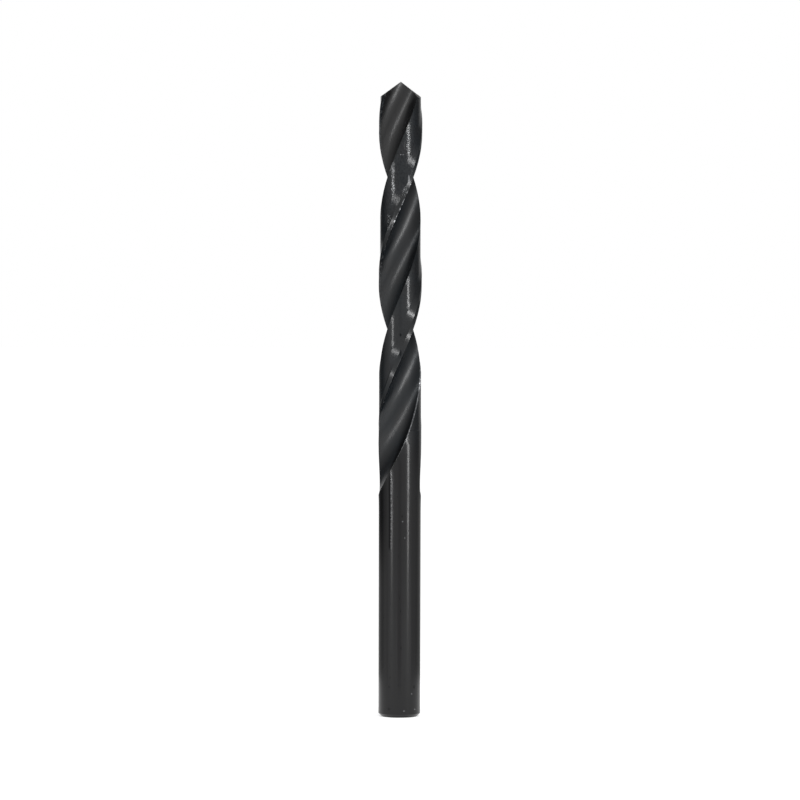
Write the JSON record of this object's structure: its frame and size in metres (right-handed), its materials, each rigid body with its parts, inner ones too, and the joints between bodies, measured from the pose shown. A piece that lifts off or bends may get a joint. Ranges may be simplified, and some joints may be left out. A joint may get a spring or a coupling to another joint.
{
  "type": "twist drill bit",
  "caption": "Black-oxide high-speed-steel twist drill, 8 mm, jobber length, two right-hand helical flutes, ground point and plain straight shank.",
  "frame": {"origin": "centre of the flat shank end, on the drill's axis", "axes": "+Z runs along the drill's axis from the shank end to the point; the first lip's outer corner lies between +X and +Y"},
  "size_m": [0.008, 0.008, 0.117],
  "materials": {
    "black_oxide_steel": "black oxide over roll-forged and ground high-speed steel"
  },
  "bodies": {
    "root": {"twist_drill": "black_oxide_steel"}
  },
  "joints": []
}
